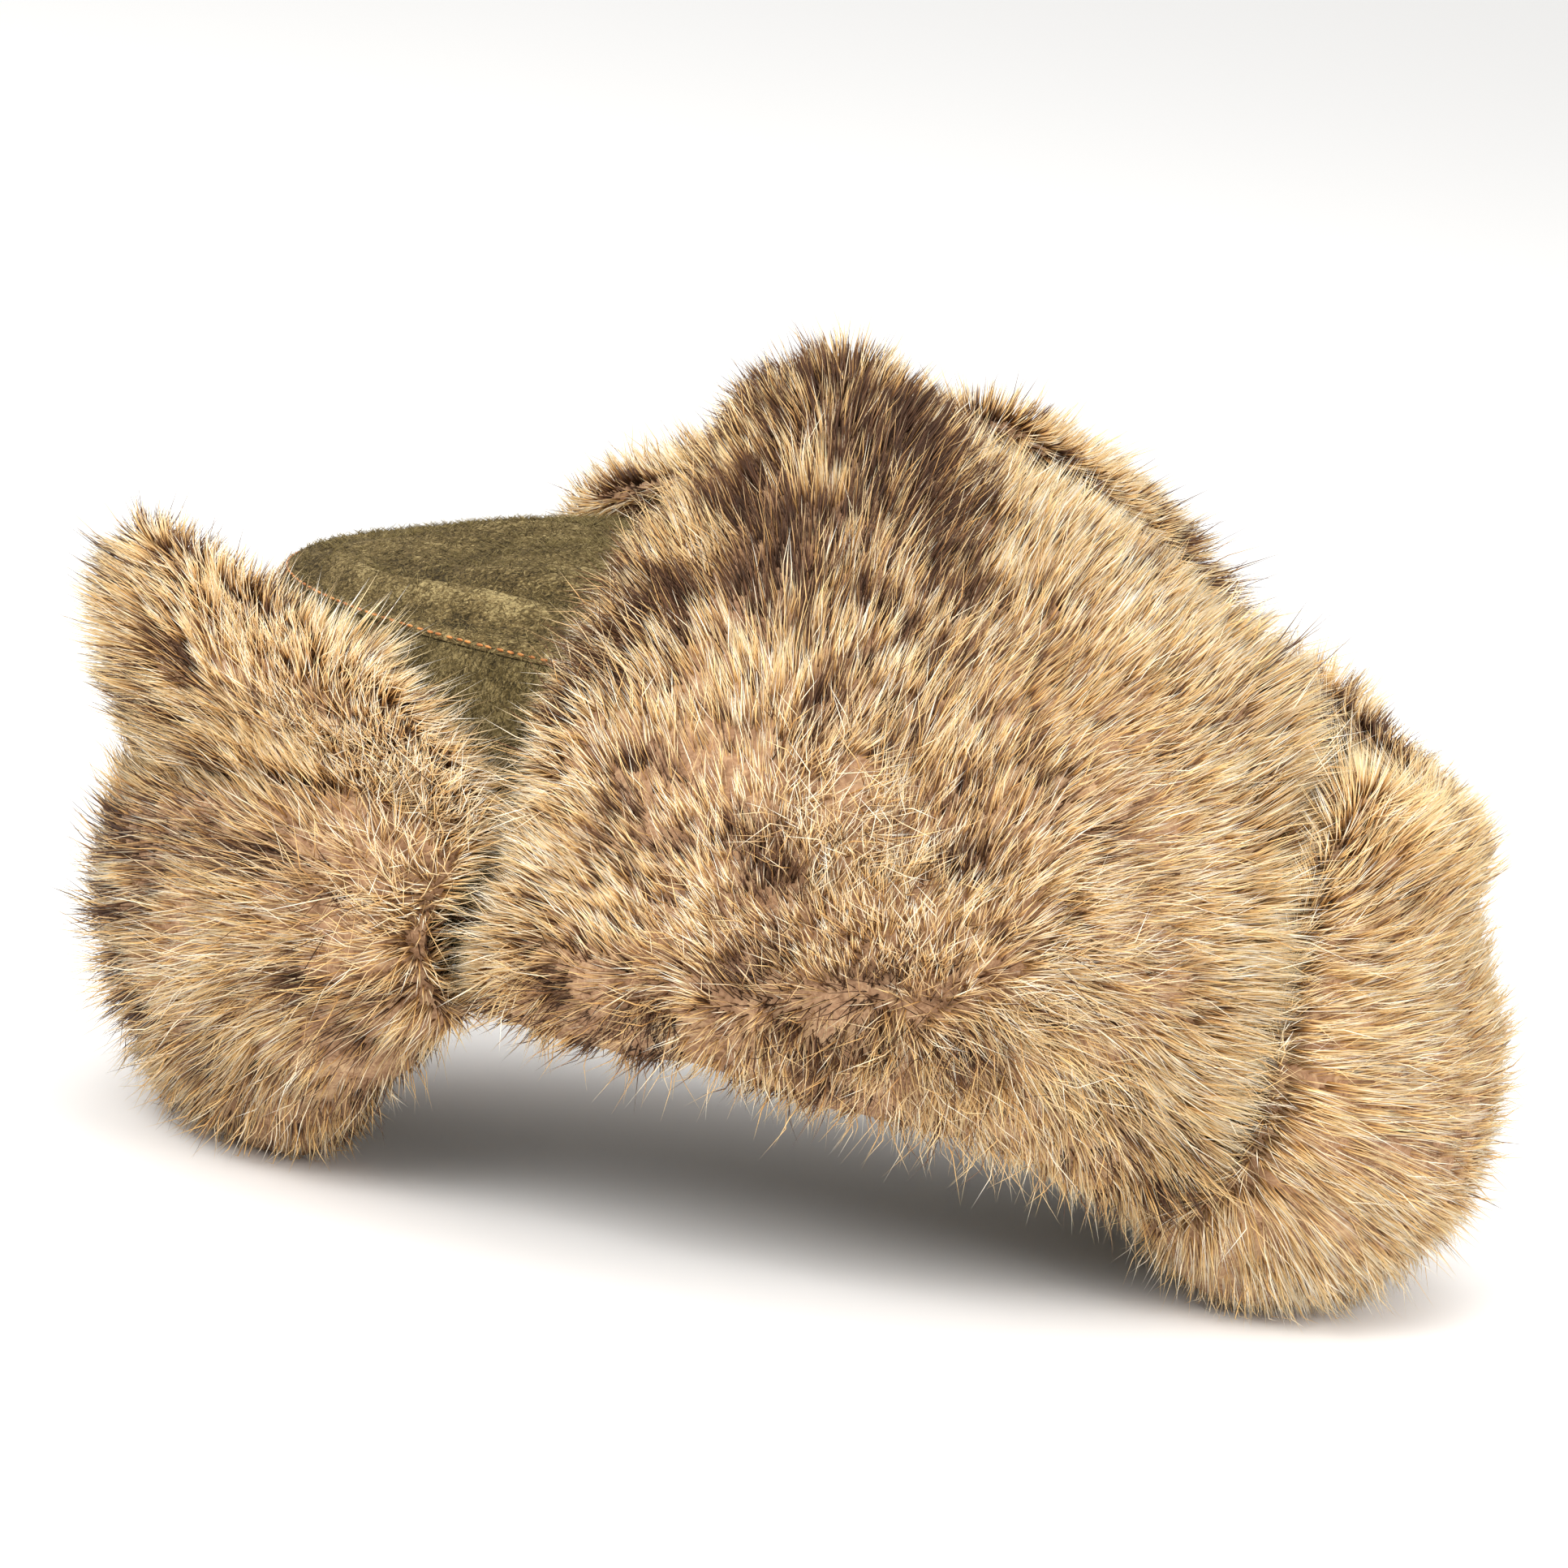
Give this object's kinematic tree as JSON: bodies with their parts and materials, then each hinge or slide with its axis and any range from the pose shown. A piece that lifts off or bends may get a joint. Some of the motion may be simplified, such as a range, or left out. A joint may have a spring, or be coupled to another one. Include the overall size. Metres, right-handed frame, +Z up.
{
  "type": "fur cap",
  "caption": "Trapper cap of olive brushed wool with its front, ear and neck flaps turned up to show agouti rabbit fur.",
  "frame": {"origin": "centre of the cap's bounding box in plan, on the surface that the front and neck fur rest on", "axes": "+X towards the back of the head, -X towards the front flap, -Y towards the wearer's left, +Z up"},
  "size_m": [0.3534, 0.2428, 0.2028],
  "materials": {
    "crown_wool": "brushed, matte",
    "backing_wool": "brushed, matte",
    "rabbit_fur": "soft, slightly glossy hair",
    "tie_cord": "matte"
  },
  "bodies": {
    "root": {"crown_side": "crown_wool", "crown_top": "crown_wool", "flap_tie": "tie_cord", "front_flap_cloth": "backing_wool", "front_flap_fur": "rabbit_fur", "neck_flap_cloth": "backing_wool", "neck_flap_fur": "rabbit_fur", "left_ear_flap_cloth": "backing_wool", "left_ear_flap_fur": "rabbit_fur", "right_ear_flap_cloth": "backing_wool", "right_ear_flap_fur": "rabbit_fur"}
  },
  "joints": []
}
